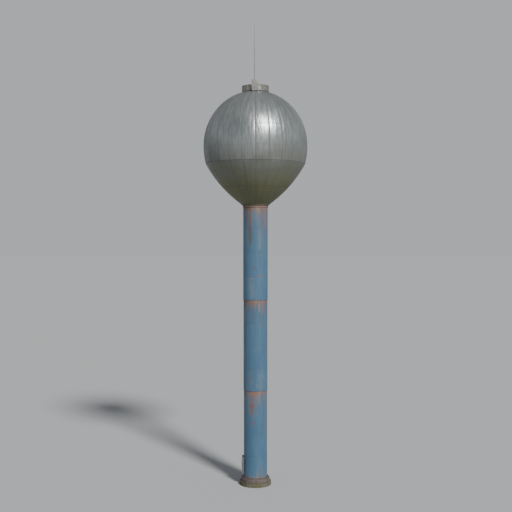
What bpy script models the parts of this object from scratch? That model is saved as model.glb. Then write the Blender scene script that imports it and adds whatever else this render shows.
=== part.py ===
"""Water tower: a steel ball-and-bowl tank on a slender plated column, on a two-step round plinth.

Frame: metres, +Z up, origin at the centre of the plinth's underside. The access door looks
along -X, and the lightning mast stands on the -Y side of the roof curb.
"""
import math

import bmesh
import bpy
from mathutils import Matrix, Vector

# Roundness and fits
SIDES = 48                    # facets round every large turned piece
SMALL_SIDES = 16              # facets round pins, barrels and rods
GAP = 0.0003                  # between pieces that touch
PLATE = 0.020                 # modelled plate of the column and of the tank
BAR_EDGE = 0.002              # bevel on the edges of bars and of the door's leaf
BOX_EDGE = 0.006              # bevel on the edges of the mast's box
SHARP_ANGLE = 30.0            # degrees past which an edge is shaded sharp
SHORTEST_FACET = 2.0          # degrees kept clear of a curved wall's ends

# Plinth
LOWER_TIER_RADIUS = 1.04
LOWER_TIER_TOP = 0.27
UPPER_TIER_RADIUS = 0.945
UPPER_TIER_TOP = 0.50
TIER_CHAMFER = 0.02

# Base flange, bolted down on the plinth
FLANGE_RADIUS = 0.87
FLANGE_BORE = 0.72
FLANGE_THICKNESS = 0.04

# Column: three sections, each slipped over the one below it
COLUMN_RADIUS = 0.770         # outside of the lowest section
SECTION_STEP = PLATE + GAP    # how much wider the next section is
SECTION_LAP = 0.15
LOWER_JOINT = 6.25            # lower edge of the middle section
UPPER_JOINT = 12.20           # lower edge of the top section
COLUMN_TOP = 18.42
DOOR_COURSE_TOP = 1.96
TOP_RING_RADIUS = 0.84
TOP_RING_HEIGHT = 0.16

# Door on the -X side
FRAME_FRONT = -0.872          # x of the frame's outer face
FRAME_BACK = -0.68            # x of its inner edge, inside the column
FRAME_HALF_WIDTH = 0.29
FRAME_BAR = 0.04
FRAME_BOTTOM = 0.72
FRAME_TOP = 1.84
DOOR_CLEARANCE = 0.005
LEAF_THICKNESS = 0.020
LEAF_HALF_WIDTH = 0.27
LEAF_MARGIN = 0.025           # frame that shows above and below the leaf
SEGMENT_EDGE = 60.0           # degrees from +X where the door course's side segments meet

# Door hinges, two lift-off pairs on the near edge of the leaf
HINGE_Y = -0.310
BARREL_RADIUS = 0.014
BARREL_HEIGHT = 0.055
PIN_RADIUS = 0.0080
PIN_HEIGHT = 0.045
PIN_BORE = 0.0086
STRAP_THICKNESS = 0.006
STRAP_WIDTH = 0.045
STRAP_END = -0.10             # y where the strap ends on the leaf
HINGE_ARM_END = -0.80         # x where the fixed knuckle's arm ends on the jamb
BORE_OVERSHOOT = 0.01         # how far the cutter of a bore runs past its ends
HINGE_HEIGHTS = {"lower": 0.95, "upper": 1.55}

# Pull handle
HANDLE_Y = 0.19
HANDLE_BOTTOM = 1.20
HANDLE_HEIGHT = 0.20
HANDLE_REACH = 0.032
HANDLE_BAR = 0.014

# Tank: a tall dome over the equator, a belt below it and a rounded bowl down to the neck
EQUATOR = 22.31
TANK_RADIUS = 3.42
DOME_SEMI_HEIGHT = 3.60
BELT_SEMI_HEIGHT = 4.08
DOME_SEAM = 23.39
GIRTH_SEAM = 22.07
BELT_SEAM = 21.13
BOWL_SEAM = 19.58
BOWL_SAGITTA = 0.20
NECK_RADIUS = 0.93
BOTTOM_PLATE = 0.05
CROWN_OPENING = 0.60
BOWL_STEPS = 4                # rings of facets up each course of the bowl
BELT_STEPS = 3                # and up each band of the tank's side
DOME_STEPS = 3
CROWN_STEPS = 8

# Roof curb, its cover, and the mast on its outrigger box
CURB_RADIUS = 0.89
CURB_BORE = CURB_RADIUS - PLATE
CURB_TOP = 26.165
COVER_THICKNESS = 0.035
COVER_RISE = 0.05
COVER_CURVE = ((0.75, 0.4), (0.4, 0.85))  # shares of the curb's radius and of the rise
BOX_CENTRE_X = -0.035
BOX_WIDTH = 0.43
BOX_DEPTH = 0.22
BOX_BOTTOM = 25.91
BOX_TOP = 26.46
MAST_X = -0.06
MAST_FOOT_RADIUS = 0.085
MAST_FOOT_HEIGHT = 0.030
MAST_FOOT_SIDES = 24
MAST_RADIUS = 0.032
MAST_SPLICE = 28.50
ROD_RADIUS = 0.022
ROD_TIP_RADIUS = 0.010
MAST_TOP = 30.06

# Finishes: colour, roughness, metallic
FINISHES = {
    "mossy_concrete": ((0.22, 0.21, 0.10), 0.95, 0.0),
    "stained_concrete": ((0.24, 0.18, 0.16), 0.95, 0.0),
    "rusted_steel": ((0.20, 0.09, 0.05), 0.90, 0.2),
    "blue_paint": ((0.10, 0.22, 0.32), 0.55, 0.0),
    "grey_blue_paint": ((0.26, 0.31, 0.37), 0.55, 0.0),
    "silver_paint": ((0.42, 0.44, 0.44), 0.40, 0.6),
    "olive_paint": ((0.20, 0.20, 0.13), 0.50, 0.5),
    "curb_paint": ((0.27, 0.28, 0.23), 0.60, 0.2),
    "box_paint": ((0.42, 0.38, 0.37), 0.60, 0.1),
    "galvanised_rod": ((0.45, 0.46, 0.48), 0.45, 0.8),
}


def clear_scene():
    for thing in list(bpy.data.objects):
        bpy.data.objects.remove(thing)


def finish_material(name):
    """Return the named finish, making it the first time it is asked for."""
    material = bpy.data.materials.get(name)
    if material is None:
        colour, roughness, metallic = FINISHES[name]
        material = bpy.data.materials.new(name)
        material.use_nodes = True
        shader = material.node_tree.nodes["Principled BSDF"]
        shader.inputs["Base Color"].default_value = (*colour, 1.0)
        shader.inputs["Roughness"].default_value = roughness
        shader.inputs["Metallic"].default_value = metallic
        material.diffuse_color = (*colour, 1.0)
    return material


def place(name, shape, finish, origin=(0.0, 0.0, 0.0), parent=None):
    """Turn a bmesh drawn in world space into a named object with its origin at the given point."""
    bmesh.ops.recalc_face_normals(shape, faces=shape.faces)
    bmesh.ops.translate(shape, verts=shape.verts, vec=-Vector(origin))
    mesh = bpy.data.meshes.new(name)
    shape.to_mesh(mesh)
    shape.free()
    mesh.shade_smooth()
    mesh.set_sharp_from_angle(angle=math.radians(SHARP_ANGLE))
    mesh.materials.append(finish_material(finish))
    thing = bpy.data.objects.new(name, mesh)
    bpy.context.scene.collection.objects.link(thing)
    thing.location = origin
    if parent is not None:
        thing.parent = parent
        thing.matrix_parent_inverse = Matrix.Translation(parent.location).inverted()
    return thing


def turned(profile, sides=SIDES, centre=(0.0, 0.0), closed=True):
    """Spin a profile of (radius, height) points about the vertical through centre."""
    shape = bmesh.new()
    x, y = centre
    verts = [shape.verts.new((x + radius, y, height)) for radius, height in profile]
    pairs = list(zip(verts, verts[1:]))
    if closed:
        pairs.append((verts[-1], verts[0]))
    edges = [shape.edges.new(pair) for pair in pairs]
    bmesh.ops.spin(
        shape, geom=verts + edges, cent=(x, y, 0.0), axis=(0.0, 0.0, 1.0),
        angle=math.tau, steps=sides, use_merge=True,
    )
    bmesh.ops.remove_doubles(shape, verts=shape.verts, dist=1e-5)
    return shape


def tube_profile(inner, outer, bottom, top):
    return [(inner, bottom), (outer, bottom), (outer, top), (inner, top)]


def tier_profile(radius, bottom, top):
    """Half section of a solid round step with a chamfered upper rim."""
    return [
        (0.0, bottom),
        (radius, bottom),
        (radius, top - TIER_CHAMFER),
        (radius - TIER_CHAMFER, top),
        (0.0, top),
    ]


def block(low, high, bevel=0.0):
    """Box between two corners, with all its edges rounded off by bevel."""
    shape = bmesh.new()
    size = Vector(high) - Vector(low)
    middle = (Vector(high) + Vector(low)) / 2.0
    bmesh.ops.create_cube(shape, size=1.0, matrix=Matrix.Translation(middle) @ Matrix.Diagonal((*size, 1.0)))
    if bevel > 0.0:
        bmesh.ops.bevel(
            shape, geom=list(shape.edges), offset=bevel, segments=1, profile=0.5, affect="EDGES",
        )
    return shape


def cylinder(centre, radius, bottom, top, sides=SMALL_SIDES):
    return turned([(0.0, bottom), (radius, bottom), (radius, top), (0.0, top)], sides, centre, closed=False)


def extruded(outline, bottom, top):
    """Upright prism on an outline of (x, y) points."""
    shape = bmesh.new()
    floor = shape.faces.new([shape.verts.new((x, y, bottom)) for x, y in outline])
    raised = bmesh.ops.extrude_face_region(shape, geom=[floor])
    tops = [item for item in raised["geom"] if isinstance(item, bmesh.types.BMVert)]
    bmesh.ops.translate(shape, verts=tops, vec=(0.0, 0.0, top - bottom))
    return shape


def boolean(target, operand_name, operand, operation):
    """Join a shape to a finished object, or cut it away, with a live modifier."""
    tool = place(operand_name, operand, "rusted_steel")
    tool.hide_render = True
    tool.display_type = "WIRE"
    modifier = target.modifiers.new(operand_name, "BOOLEAN")
    modifier.operation = operation
    modifier.object = tool


def polar(radius, degrees):
    angle = math.radians(degrees)
    return (radius * math.cos(angle), radius * math.sin(angle))


# Plinth and base flange

def build_plinth():
    lower = turned(tier_profile(LOWER_TIER_RADIUS, 0.0, LOWER_TIER_TOP), closed=False)
    place("plinth_lower_tier", lower, "mossy_concrete")
    upper = turned(tier_profile(UPPER_TIER_RADIUS, LOWER_TIER_TOP + GAP, UPPER_TIER_TOP), closed=False)
    place("plinth_upper_tier", upper, "stained_concrete")


def flange_top():
    return UPPER_TIER_TOP + GAP + FLANGE_THICKNESS


def build_base_flange():
    profile = tube_profile(FLANGE_BORE, FLANGE_RADIUS, UPPER_TIER_TOP + GAP, flange_top())
    place("base_flange", turned(profile), "rusted_steel")


# Column

def section_radius(index):
    """Outside radius of a column section, counted up from the ground."""
    return COLUMN_RADIUS + index * SECTION_STEP


def column_tube(name, index, bottom, top):
    outer = section_radius(index)
    place(name, turned(tube_profile(outer - PLATE, outer, bottom, top)), "blue_paint")


def doorway_angle(radius):
    """Angle from -X at which a circle meets the plane beside the door frame."""
    return math.degrees(math.asin((FRAME_HALF_WIDTH + GAP) / radius))


def arc_angles(start, end):
    """Angles of the facets' corners strictly between two angles, a little clear of both."""
    step = 360.0 / SIDES
    first = math.ceil((start + SHORTEST_FACET) / step)
    last = math.floor((end - SHORTEST_FACET) / step)
    return [step * index for index in range(first, last + 1)]


def curved_wall(name, outer_span, inner_span, bottom, top):
    """Piece of the column's wall between two angles, which may differ inside and outside."""
    outer_angles = [outer_span[0], *arc_angles(*outer_span), outer_span[1]]
    inner_angles = [inner_span[0], *arc_angles(*inner_span), inner_span[1]]
    outer = COLUMN_RADIUS
    inner = COLUMN_RADIUS - PLATE
    outline = [polar(outer, angle) for angle in outer_angles]
    outline += [polar(inner, angle) for angle in reversed(inner_angles)]
    place(name, extruded(outline, bottom, top), "blue_paint")


def build_door_course():
    """Lowest course, split beside, under and over the doorway in its -X side."""
    bottom = flange_top() + GAP
    outer_half = doorway_angle(COLUMN_RADIUS)
    inner_half = doorway_angle(COLUMN_RADIUS - PLATE)
    seam = math.degrees(GAP / COLUMN_RADIUS)
    front_outer = (180.0 + outer_half, 360.0 - SEGMENT_EDGE)
    front_inner = (180.0 + inner_half, 360.0 - SEGMENT_EDGE)
    curved_wall("door_course_front_wall", front_outer, front_inner, bottom, DOOR_COURSE_TOP)
    right_span = (-SEGMENT_EDGE + seam, SEGMENT_EDGE - seam)
    curved_wall("door_course_right_wall", right_span, right_span, bottom, DOOR_COURSE_TOP)
    back_outer = (SEGMENT_EDGE, 180.0 - outer_half)
    back_inner = (SEGMENT_EDGE, 180.0 - inner_half)
    curved_wall("door_course_back_wall", back_outer, back_inner, bottom, DOOR_COURSE_TOP)
    filler_half = math.degrees(math.asin(FRAME_HALF_WIDTH / COLUMN_RADIUS))
    filler = (180.0 - filler_half, 180.0 + filler_half)
    curved_wall("door_course_below_door", filler, filler, bottom, FRAME_BOTTOM - GAP)
    curved_wall("door_course_over_door", filler, filler, FRAME_TOP + GAP, DOOR_COURSE_TOP)


def build_column():
    build_door_course()
    column_tube("column_lower_section", 0, DOOR_COURSE_TOP + GAP, LOWER_JOINT + SECTION_LAP)
    column_tube("column_middle_section", 1, LOWER_JOINT, UPPER_JOINT + SECTION_LAP)
    column_tube("column_upper_section", 2, UPPER_JOINT, COLUMN_TOP)
    inner = section_radius(2) + GAP
    ring = tube_profile(inner, TOP_RING_RADIUS, COLUMN_TOP - TOP_RING_HEIGHT, COLUMN_TOP)
    place("column_top_ring", turned(ring), "rusted_steel")


# Door frame, leaf, hinges and handle

def build_door_frame():
    inside = FRAME_HALF_WIDTH - FRAME_BAR
    for name, near, far in (
        ("door_jamb_near", -FRAME_HALF_WIDTH, -inside),
        ("door_jamb_far", inside, FRAME_HALF_WIDTH),
    ):
        jamb = block((FRAME_FRONT, near, FRAME_BOTTOM), (FRAME_BACK, far, FRAME_TOP), BAR_EDGE)
        place(name, jamb, "grey_blue_paint")
    for name, bottom in (("door_sill", FRAME_BOTTOM), ("door_head", FRAME_TOP - FRAME_BAR)):
        bar = block(
            (FRAME_FRONT, -inside + GAP, bottom), (FRAME_BACK, inside - GAP, bottom + FRAME_BAR), BAR_EDGE,
        )
        place(name, bar, "grey_blue_paint")


def leaf_outer_face():
    return FRAME_FRONT - DOOR_CLEARANCE - LEAF_THICKNESS


def hinge_axis():
    """Place of the hinges' vertical axis, level with the straps' barrels."""
    return (leaf_outer_face() - GAP - STRAP_THICKNESS + BARREL_RADIUS, HINGE_Y)


def build_fixed_knuckle(level, height, axis):
    """Barrel with its pin, on an arm fixed to the near jamb's side."""
    profile = [
        (0.0, height - BARREL_HEIGHT),
        (BARREL_RADIUS, height - BARREL_HEIGHT),
        (BARREL_RADIUS, height),
        (PIN_RADIUS, height),
        (PIN_RADIUS, height + PIN_HEIGHT),
        (0.0, height + PIN_HEIGHT),
    ]
    barrel = turned(profile, SMALL_SIDES, axis, closed=False)
    knuckle = place(f"hinge_{level}_knuckle", barrel, "galvanised_rod")
    side = -FRAME_HALF_WIDTH - GAP
    arm = block(
        (axis[0], side - 2.0 * STRAP_THICKNESS, height - BARREL_HEIGHT),
        (HINGE_ARM_END, side, height),
    )
    boolean(knuckle, f"hinge_{level}_arm", arm, "UNION")


def build_strap(level, height, axis, door):
    """Strap on the leaf's outer face, rolled into a barrel that turns on the pin."""
    bottom = height + GAP
    barrel = cylinder(axis, BARREL_RADIUS, bottom, bottom + BARREL_HEIGHT)
    strap = place(f"hinge_{level}_strap", barrel, "galvanised_rod", (*axis, bottom), door)
    face = leaf_outer_face() - GAP
    plate = block(
        (face - STRAP_THICKNESS, HINGE_Y, bottom + (BARREL_HEIGHT - STRAP_WIDTH) / 2.0),
        (face, STRAP_END, bottom + (BARREL_HEIGHT + STRAP_WIDTH) / 2.0),
    )
    boolean(strap, f"hinge_{level}_plate", plate, "UNION")
    bore_top = bottom + BARREL_HEIGHT + BORE_OVERSHOOT
    bore = cylinder(axis, PIN_BORE, bottom - BORE_OVERSHOOT, bore_top)
    boolean(strap, f"hinge_{level}_bore", bore, "DIFFERENCE")


def build_handle(door):
    """Pull handle: a bar on two feet that stand on the leaf's outer face."""
    face = leaf_outer_face() - GAP
    half = HANDLE_BAR / 2.0
    top = HANDLE_BOTTOM + HANDLE_HEIGHT
    outline = [
        (face, HANDLE_BOTTOM), (face - HANDLE_REACH, HANDLE_BOTTOM), (face - HANDLE_REACH, top),
        (face, top), (face, top - HANDLE_BAR), (face - HANDLE_REACH + HANDLE_BAR, top - HANDLE_BAR),
        (face - HANDLE_REACH + HANDLE_BAR, HANDLE_BOTTOM + HANDLE_BAR), (face, HANDLE_BOTTOM + HANDLE_BAR),
    ]
    shape = bmesh.new()
    side = shape.faces.new([shape.verts.new((x, HANDLE_Y - half, z)) for x, z in outline])
    raised = bmesh.ops.extrude_face_region(shape, geom=[side])
    moved = [item for item in raised["geom"] if isinstance(item, bmesh.types.BMVert)]
    bmesh.ops.translate(shape, verts=moved, vec=(0.0, HANDLE_BAR, 0.0))
    place("door_handle", shape, "galvanised_rod", (face, HANDLE_Y, HANDLE_BOTTOM), door)


def build_door():
    build_door_frame()
    axis = hinge_axis()
    door = bpy.data.objects.new("door_hinge_line", None)
    bpy.context.scene.collection.objects.link(door)
    door.location = (*axis, FRAME_BOTTOM)
    leaf = block(
        (leaf_outer_face(), -LEAF_HALF_WIDTH, FRAME_BOTTOM + LEAF_MARGIN),
        (leaf_outer_face() + LEAF_THICKNESS, LEAF_HALF_WIDTH, FRAME_TOP - LEAF_MARGIN),
        BAR_EDGE,
    )
    place("door_leaf", leaf, "grey_blue_paint", (*axis, FRAME_BOTTOM + LEAF_MARGIN), door)
    for level, height in HINGE_HEIGHTS.items():
        build_fixed_knuckle(level, height, axis)
        build_strap(level, height, axis, door)
    build_handle(door)


# Tank

def ellipse_points(low, high, semi_width, semi_height, steps):
    """Points of an upright ellipse round the equator, between two heights."""
    start = math.asin((low - EQUATOR) / semi_height)
    end = math.asin((high - EQUATOR) / semi_height)
    angles = [start + (end - start) * step / steps for step in range(steps + 1)]
    return [(semi_width * math.cos(a), EQUATOR + semi_height * math.sin(a)) for a in angles]


def shell(name, outer, inner, finish):
    """Turned shell between an outer and an inner curve, both drawn upwards."""
    place(name, turned(outer + inner[::-1]), finish)


def belt_points(low, high, inset):
    return ellipse_points(low, high, TANK_RADIUS - inset, BELT_SEMI_HEIGHT - inset, BELT_STEPS)


def dome_foot_points(inset):
    """Points of the dome's foot, which starts a little under the equator."""
    below = belt_points(GIRTH_SEAM, EQUATOR, inset)
    above = ellipse_points(EQUATOR, DOME_SEAM, TANK_RADIUS - inset, DOME_SEMI_HEIGHT - inset, DOME_STEPS)
    return below + above[1:]


def dome_height(radius, inset=0.0):
    """Height of the dome's surface over a radius, or of a surface inset from it."""
    width = TANK_RADIUS - inset
    return EQUATOR + (DOME_SEMI_HEIGHT - inset) * math.sqrt(1.0 - (radius / width) ** 2)


def belt_radius(height):
    return TANK_RADIUS * math.sqrt(1.0 - ((height - EQUATOR) / BELT_SEMI_HEIGHT) ** 2)


def bowl_circle():
    """Centre and radius of the circle that the bowl's side follows, from the neck to the belt."""
    foot = Vector((NECK_RADIUS, COLUMN_TOP + GAP + BOTTOM_PLATE))
    rim = Vector((belt_radius(BELT_SEAM), BELT_SEAM))
    chord = rim - foot
    radius = (chord.length_squared / 4.0 + BOWL_SAGITTA ** 2) / (2.0 * BOWL_SAGITTA)
    inward = Vector((-chord.y, chord.x)).normalized()
    centre = (foot + rim) / 2.0 + inward * (radius - BOWL_SAGITTA)
    return centre, radius


def bowl_points(low, high, inset):
    """Points of the bowl's side between two heights, inset from its outer surface."""
    centre, radius = bowl_circle()
    radius -= inset
    start = math.asin((low - centre.y) / radius)
    end = math.asin((high - centre.y) / radius)
    angles = [start + (end - start) * step / BOWL_STEPS for step in range(BOWL_STEPS + 1)]
    return [(centre.x + radius * math.cos(a), centre.y + radius * math.sin(a)) for a in angles]


def crown_points(inset):
    """Points of the crown, with one ring of them right under the curb's inner edge."""
    width = TANK_RADIUS - inset
    height = DOME_SEMI_HEIGHT - inset
    seat = dome_height(CURB_BORE, inset)
    below = ellipse_points(DOME_SEAM + GAP, seat, width, height, CROWN_STEPS)
    above = ellipse_points(seat, dome_height(CROWN_OPENING, inset), width, height, 1)
    return below + above[1:]


def build_tank():
    plate_bottom = COLUMN_TOP + GAP
    plate_top = plate_bottom + BOTTOM_PLATE
    plate = [(0.0, plate_bottom), (NECK_RADIUS, plate_bottom), (NECK_RADIUS, plate_top), (0.0, plate_top)]
    place("tank_bottom_plate", turned(plate, closed=False), "olive_paint")
    for name, low, high, finish in (
        ("tank_bowl_lower_course", plate_top + GAP, BOWL_SEAM, "olive_paint"),
        ("tank_bowl_upper_course", BOWL_SEAM + GAP, BELT_SEAM, "olive_paint"),
    ):
        shell(name, bowl_points(low, high, 0.0), bowl_points(low, high, PLATE), finish)
    belt_span = (BELT_SEAM + GAP, GIRTH_SEAM - GAP)
    shell("tank_belt", belt_points(*belt_span, 0.0), belt_points(*belt_span, PLATE), "silver_paint")
    shell("tank_dome_lower_course", dome_foot_points(0.0), dome_foot_points(PLATE), "silver_paint")
    shell("tank_dome_crown", crown_points(0.0), crown_points(PLATE), "silver_paint")


# Roof

def build_roof():
    curb = tube_profile(CURB_BORE, CURB_RADIUS, dome_height(CURB_BORE) + GAP, CURB_TOP)
    place("roof_curb_ring", turned(curb), "curb_paint")
    bottom = CURB_TOP + GAP
    rim = bottom + COVER_THICKNESS
    cover = [
        (0.0, bottom),
        (CURB_RADIUS, bottom),
        (CURB_RADIUS, rim),
        *((reach * CURB_RADIUS, rim + rise * COVER_RISE) for reach, rise in COVER_CURVE),
        (0.0, rim + COVER_RISE),
    ]
    place("roof_hatch_cover", turned(cover, closed=False), "curb_paint")


def build_mast():
    back = -CURB_RADIUS - GAP
    half = BOX_WIDTH / 2.0
    box = block(
        (BOX_CENTRE_X - half, back - BOX_DEPTH, BOX_BOTTOM), (BOX_CENTRE_X + half, back, BOX_TOP), BOX_EDGE,
    )
    place("mast_box", box, "box_paint")
    centre = (MAST_X, back - BOX_DEPTH / 2.0)
    foot_bottom = BOX_TOP + GAP
    foot_top = foot_bottom + MAST_FOOT_HEIGHT
    foot = cylinder(centre, MAST_FOOT_RADIUS, foot_bottom, foot_top, MAST_FOOT_SIDES)
    place("mast_foot", foot, "galvanised_rod")
    tube = cylinder(centre, MAST_RADIUS, foot_top + GAP, MAST_SPLICE)
    place("mast_tube", tube, "galvanised_rod")
    splice = MAST_SPLICE + GAP
    rod = [(0.0, splice), (ROD_RADIUS, splice), (ROD_TIP_RADIUS, MAST_TOP), (0.0, MAST_TOP)]
    place("lightning_rod", turned(rod, SMALL_SIDES, centre, closed=False), "galvanised_rod")


def main():
    clear_scene()
    build_plinth()
    build_base_flange()
    build_column()
    build_door()
    build_tank()
    build_roof()
    build_mast()


main()
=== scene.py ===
"""Water tower: a silver ball-and-bowl tank on a slender blue column, dressed round its packed frame."""
import math

import bmesh
import bpy
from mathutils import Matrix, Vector


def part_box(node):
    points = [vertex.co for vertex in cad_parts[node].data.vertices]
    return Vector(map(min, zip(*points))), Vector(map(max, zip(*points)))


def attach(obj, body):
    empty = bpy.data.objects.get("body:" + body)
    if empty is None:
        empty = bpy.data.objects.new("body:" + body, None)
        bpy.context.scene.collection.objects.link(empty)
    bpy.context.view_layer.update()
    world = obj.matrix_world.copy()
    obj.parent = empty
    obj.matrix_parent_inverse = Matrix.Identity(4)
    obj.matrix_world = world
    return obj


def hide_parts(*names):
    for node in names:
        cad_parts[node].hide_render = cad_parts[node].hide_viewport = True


bl_info = {
    "name": "Water Tower",
    "version": (1, 0, 0),
    "blender": (4, 5, 0),
    "location": "3D View > Sidebar > Tower",
    "description": "Models and paints a ball-and-bowl water tower round its packed frame",
    "category": "Add Mesh",
}

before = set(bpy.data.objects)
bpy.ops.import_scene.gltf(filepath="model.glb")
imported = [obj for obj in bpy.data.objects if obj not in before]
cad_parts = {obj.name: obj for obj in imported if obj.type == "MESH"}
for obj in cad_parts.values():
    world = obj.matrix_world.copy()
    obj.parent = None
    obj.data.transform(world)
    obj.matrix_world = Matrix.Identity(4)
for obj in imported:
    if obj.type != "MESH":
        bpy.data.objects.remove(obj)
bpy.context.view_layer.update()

# Fits
TOUCH = 0.0003                # gap kept between pieces that touch
SAME_PLACE = 0.00005          # points nearer than this are merged
PLATE = 0.020                 # thickness of the shells of the tank and the column
BEAD_ROOM = 0.003             # how far a weld bead stands proud of its plate
SMOOTH_ANGLE = 32.0           # degrees past which an edge is shaded sharp

# Tank's curves, as the frame has them
EQUATOR = 22.31
TANK_RADIUS = 3.42
TANK_MIDDLE = Vector((0.0, 0.0, EQUATOR))
DOME_SEMI_HEIGHT = 3.60
BELT_SEMI_HEIGHT = 4.08
DOME_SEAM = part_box("tank_dome_crown")[0].z
GIRTH_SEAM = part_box("tank_belt")[1].z
BELT_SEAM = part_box("tank_bowl_upper_course")[1].z
BOWL_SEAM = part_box("tank_bowl_lower_course")[1].z
BOWL_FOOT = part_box("tank_bottom_plate")[1].z
NECK_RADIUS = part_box("tank_bottom_plate")[1].x
BOWL_SAGITTA = 0.20
CROWN_OPENING = 0.60

# Column's heights, stains and welds
COLUMN_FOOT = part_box("door_course_right_wall")[0].z
DOOR_COURSE_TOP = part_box("door_course_right_wall")[1].z
LOWER_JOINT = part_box("column_middle_section")[0].z
UPPER_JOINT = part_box("column_upper_section")[0].z
COLUMN_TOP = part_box("column_upper_section")[1].z
COLUMN_SPANS = ((COLUMN_FOOT, LOWER_JOINT), (LOWER_JOINT, UPPER_JOINT), (UPPER_JOINT, COLUMN_TOP))
RING_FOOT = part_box("column_top_ring")[0].z
COLUMN_SIDES = 96
STAIN_RADIUS = 0.80           # radius at which the widths of the column's stains are measured
WELD_DIRECTION = 273.75       # degrees round the axis to the lowest course's upright weld
WELD_STAGGER = 112.5          # degrees from one course's upright weld to the next one's


# Settings

def number(name, description, default, **details):
    return bpy.props.FloatProperty(name=name, description=description, default=default, **details)


def length(name, description, default):
    return number(name, description, default, unit="LENGTH", precision=4)


def angle(name, description, degrees):
    return number(name, description, math.radians(degrees), subtype="ANGLE")


def colour(name, description, default):
    return bpy.props.FloatVectorProperty(
        name=name, description=description, default=default, subtype="COLOR", size=3, min=0.0, max=1.0,
    )


def count(name, description, default):
    return bpy.props.IntProperty(name=name, description=description, default=default, min=3)


class TowerTankSettings(bpy.types.PropertyGroup):
    """Sizes of the tank's plates and welds."""

    gores: count("Gores", "Plates round the tank between its upright welds", 24)
    gore_steps: count("Steps per gore", "Facets across one gore", 8)
    flatness: number("Gore flatness", "Gores from a true circle towards flat plates", 0.25, min=0.0, max=1.0)
    bead: length("Weld bead", "Radius of the tank's weld beads", 0.009)


class TowerColumnSettings(bpy.types.PropertyGroup):
    """Sizes of the column's plates and welds."""

    courses: count("Courses", "Plate courses in each section of the column", 4)
    bead: length("Weld bead", "Radius of the column's weld beads", 0.008)
    seam_groove: length("Seam groove", "How far the plates draw in beside a level weld", 0.003)
    edge: length("Edge", "Chamfer on the sections' cut edges", 0.004)


class TowerFixingSettings(bpy.types.PropertyGroup):
    """Sizes of the bolts, nuts and clamps."""

    anchors: count("Anchor bolts", "Bolts that hold the base flange down", 20)
    anchor_circle: length("Anchor circle", "Radius of the circle that the anchor bolts stand on", 0.822)
    anchor_radius: length("Anchor radius", "Radius of an anchor bolt", 0.014)
    clamps: count("Cover clamps", "Clamps round the roof cover", 24)
    screw_radius: length("Screw radius", "Radius of the screw heads on the mast's box", 0.009)


class TowerColourSettings(bpy.types.PropertyGroup):
    """Colours of the paints, the rust and the concrete."""

    silver: colour("Silver", "Tank paint", (0.292, 0.326, 0.340))
    silver_worn: colour("Worn silver", "Tank paint where it has chalked", (0.391, 0.421, 0.428))
    # haze and grime are also darkened to paint the shade on the tank's lower half
    haze_and_shade: colour("Haze", "Grey film that dulls the tank's belt", (0.142, 0.148, 0.128))
    grime_and_shade: colour("Grime", "Olive dirt on the tank's underside", (0.127, 0.129, 0.073))
    seam_dirt: colour("Seam dirt", "Dirt that lies along the welds", (0.060, 0.075, 0.080))
    blue: colour("Blue", "Column paint", (0.052, 0.124, 0.208))
    blue_faded: colour("Faded blue", "Column paint where it has chalked", (0.075, 0.155, 0.238))
    primer: colour("Primer", "Pinkish primer under the peeled paint", (0.205, 0.150, 0.132))
    rust: colour("Rust", "Old dark rust", (0.095, 0.042, 0.024))
    rust_bright: colour("Bright rust", "Fresh orange rust", (0.262, 0.128, 0.062))
    rust_pale: colour("Pale rust", "Thin yellowish rust in the runs", (0.340, 0.230, 0.135))
    rust_red: colour("Red rust", "Red lead that shows where the paint has come off", (0.190, 0.078, 0.066))
    rust_wash: colour("Rust wash", "Brown film that rusty water has left", (0.120, 0.098, 0.088))
    chalk: colour("Chalk", "Paint that has gone pale and powdery", (0.165, 0.205, 0.240))
    door: colour("Door paint", "Grey-blue door paint", (0.108, 0.123, 0.155))
    concrete: colour("Concrete", "Bare weathered concrete", (0.090, 0.086, 0.073))
    concrete_stained: colour("Stained concrete", "Concrete under rusty water", (0.098, 0.086, 0.082))
    moss: colour("Moss", "Yellow-green moss", (0.150, 0.145, 0.080))
    moss_dark: colour("Dark moss", "Wet dark moss", (0.068, 0.074, 0.032))
    # soot is also the colour of painted shade in corners and at the feet of pieces
    soot: colour("Soot", "Dark grime in corners and pits", (0.024, 0.024, 0.024))
    curb: colour("Curb paint", "Grey-green paint of the roof curb", (0.206, 0.212, 0.180))
    box: colour("Box paint", "Pale grey paint of the mast's box", (0.242, 0.238, 0.232))
    zinc: colour("Zinc", "Galvanised steel", (0.400, 0.410, 0.420))
    floor: colour("Floor", "Pale studio floor", (0.506, 0.522, 0.547))


class TowerStageSettings(bpy.types.PropertyGroup):
    """Camera and light."""

    camera_side: length("Camera side", "How far right of the tower's axis the camera stands", 0.036)
    camera_distance: length("Camera distance", "From the tower's axis to the camera", 56.22)
    camera_height: length("Camera height", "Camera's height over the floor", 16.056)
    camera_pitch: angle("Camera pitch", "How far the camera looks down", 1.0)
    lens: number("Lens", "Focal length in millimetres", 60.0, min=10.0)
    key_azimuth: angle("Key side", "How far right of the camera the key light stands", 28.3)
    key_height: angle("Key height", "Key light's angle above the floor", 37.5)
    key_power: number("Key power", "Strength of the key light", 3.9, min=0.0)
    key_softness: angle("Key softness", "Angle that the key light fills", 10.0)
    fill: number("Fill", "Strength of the light from overhead", 0.19, min=0.0)
    horizon: number("Horizon", "Strength of the pale band above the horizon", 0.50, min=0.0)
    band_top: angle("Band top", "Height of the pale band", 17.0)
    band_fade: angle("Band fade", "Angle over which the pale band fades above its top", 20.0)


# Modelling by hand

def let_go():
    """Leave edit mode and select nothing."""
    if bpy.context.object is not None and bpy.context.object.mode != "OBJECT":
        bpy.ops.object.mode_set(mode="OBJECT")
    bpy.ops.object.select_all(action="DESELECT")


def take(piece):
    """Select just this piece, and make it the active one."""
    let_go()
    piece.select_set(True)
    bpy.context.view_layer.objects.active = piece


def reopen(piece):
    take(piece)
    bpy.ops.object.mode_set(mode="EDIT")


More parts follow.
